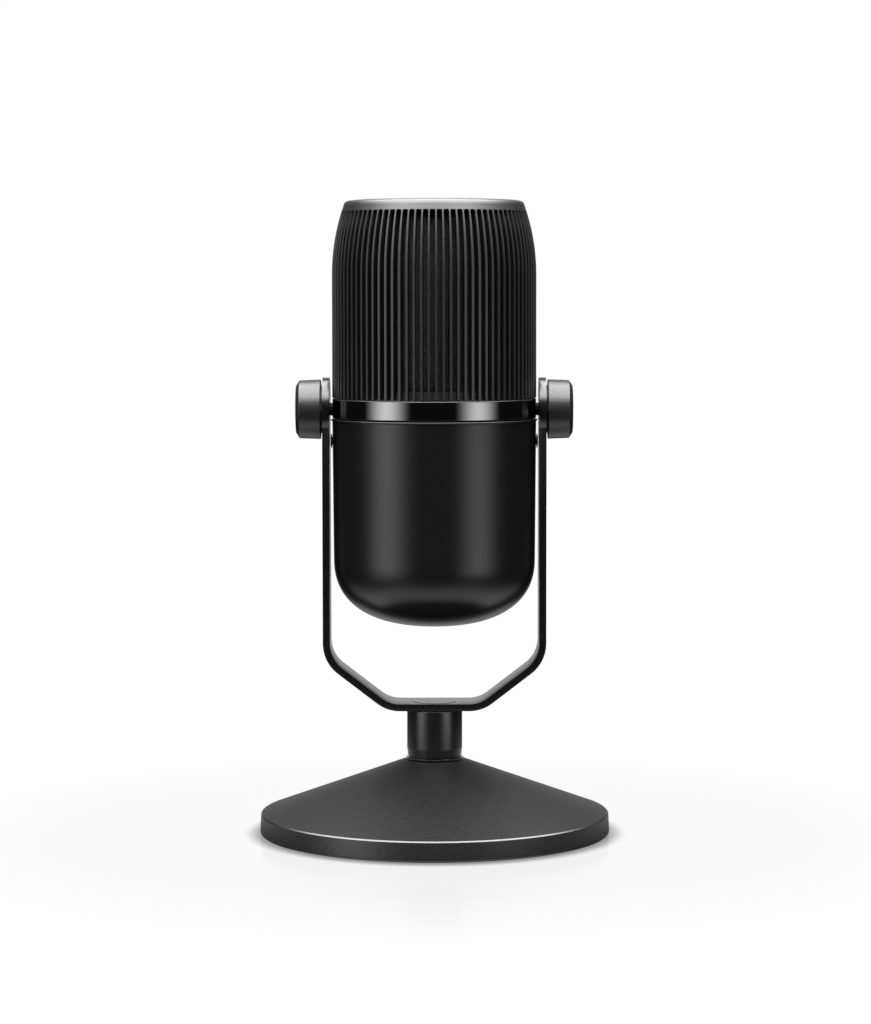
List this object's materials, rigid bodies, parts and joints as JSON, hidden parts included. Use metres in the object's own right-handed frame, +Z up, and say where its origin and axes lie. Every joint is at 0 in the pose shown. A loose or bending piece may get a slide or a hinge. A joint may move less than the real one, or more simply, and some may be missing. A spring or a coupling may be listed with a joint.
{
  "type": "desktop microphone",
  "caption": "Desktop microphone: slotted round head that tilts in a bent strip yoke with clamp knobs, turning on a round weighted base.",
  "frame": {"origin": "centre of the base pad's underside, on the axis of the neck", "axes": "+Z up along the neck, -Y towards the front of the head, +X to the right seen from the front"},
  "size_m": [0.111, 0.111, 0.2],
  "materials": {
    "grained_paint": "fine grained black powder coat",
    "foam_rubber": "matte black foam rubber",
    "zinc_steel": "zinc plated",
    "cast_iron": "rough cast",
    "satin_paint": "satin black paint",
    "polished_trim": "polished black",
    "white_nylon": "turned nylon",
    "gloss_band": "high gloss black",
    "satin_shell": "satin black",
    "knob_plastic": "fine matte black",
    "black_mesh": "black woven wire",
    "frame_plastic": "moulded black nylon",
    "grey_rubber": "soft moulded rubber",
    "capsule_can": "nickel plated brass",
    "brass": "turned brass",
    "circuit_board": "black green solder mask",
    "tin_plate": "tin plated sheet",
    "wire_pvc": "red wire insulation"
  },
  "bodies": {
    "base": {"base_cover": "grained_paint", "base_pad": "foam_rubber", "base_plate": "zinc_steel", "base_screw_1": "zinc_steel", "base_screw_2": "zinc_steel", "base_screw_3": "zinc_steel", "base_screw_4": "zinc_steel", "base_weight": "cast_iron", "neck_trim": "polished_trim", "neck_sleeve": "satin_paint", "swivel_washer": "white_nylon", "yoke_bolt": "zinc_steel", "bolt_nut": "zinc_steel", "bolt_washer": "zinc_steel"},
    "yoke": {"yoke_bracket": "satin_paint"},
    "head": {"center_ring": "gloss_band", "lower_shell": "satin_shell", "grille_cage": "satin_paint", "grille_mesh": "black_mesh", "core_frame": "frame_plastic", "shell_screw_left": "zinc_steel", "shell_screw_right": "zinc_steel", "left_insert": "brass", "right_insert": "brass", "capsule_mount": "grey_rubber", "capsule_cradle": "frame_plastic", "front_capsule": "capsule_can", "rear_capsule": "capsule_can", "capsule_lead": "wire_pvc", "main_board": "circuit_board", "board_screw_1": "zinc_steel", "board_screw_2": "zinc_steel", "board_screw_3": "zinc_steel", "board_screw_4": "zinc_steel", "usb_socket": "tin_plate", "headphone_jack": "frame_plastic", "gain_pot": "tin_plate", "mute_switch": "frame_plastic"},
    "left_clamp": {"left_knob_washer": "frame_plastic"},
    "left_knob": {"left_knob": "knob_plastic", "left_knob_screw": "zinc_steel"},
    "right_clamp": {"right_knob_washer": "frame_plastic"},
    "right_knob": {"right_knob": "knob_plastic", "right_knob_screw": "zinc_steel"},
    "gain_dial": {"gain_dial": "knob_plastic", "gain_shaft": "zinc_steel"},
    "mute_button": {"mute_button": "knob_plastic"}
  },
  "joints": [
    {"name": "yoke_swivel", "type": "hinge", "parent": "base", "child": "yoke", "pos_m": [0, 0, 0.0397], "axis": [0, 0, 1], "continuous": true},
    {"name": "head_tilt", "type": "hinge", "parent": "yoke", "child": "head", "pos_m": [0, 0, 0.1346], "axis": [1, 0, 0], "continuous": true},
    {"name": "left_clamp_slide", "type": "slide", "parent": "head", "child": "left_clamp", "axis": [-1, 0, 0], "range_m": [0, 0.0014]},
    {"name": "left_knob_turn", "type": "hinge", "parent": "left_clamp", "child": "left_knob", "pos_m": [-0.0356, 0, 0.1346], "axis": [-1, 0, 0], "range_deg": [0, 720]},
    {"name": "right_clamp_slide", "type": "slide", "parent": "head", "child": "right_clamp", "axis": [1, 0, 0], "range_m": [0, 0.0014]},
    {"name": "right_knob_turn", "type": "hinge", "parent": "right_clamp", "child": "right_knob", "pos_m": [0.0356, 0, 0.1346], "axis": [1, 0, 0], "range_deg": [0, 720]},
    {"name": "gain_turn", "type": "hinge", "parent": "head", "child": "gain_dial", "pos_m": [0, 0.033, 0.1105], "axis": [0, 1, 0], "range_deg": [-150, 150]},
    {"name": "mute_press", "type": "slide", "parent": "head", "child": "mute_button", "axis": [0, -1, 0], "range_m": [0, 0.0008], "stiffness_N_per_m": 400, "springref_m": -0.0005}
  ],
  "couplings": [
    {"joint": "left_clamp_slide", "follows": "left_knob_turn", "m_per_rad": 0.0001114},
    {"joint": "right_clamp_slide", "follows": "right_knob_turn", "m_per_rad": 0.0001114}
  ]
}
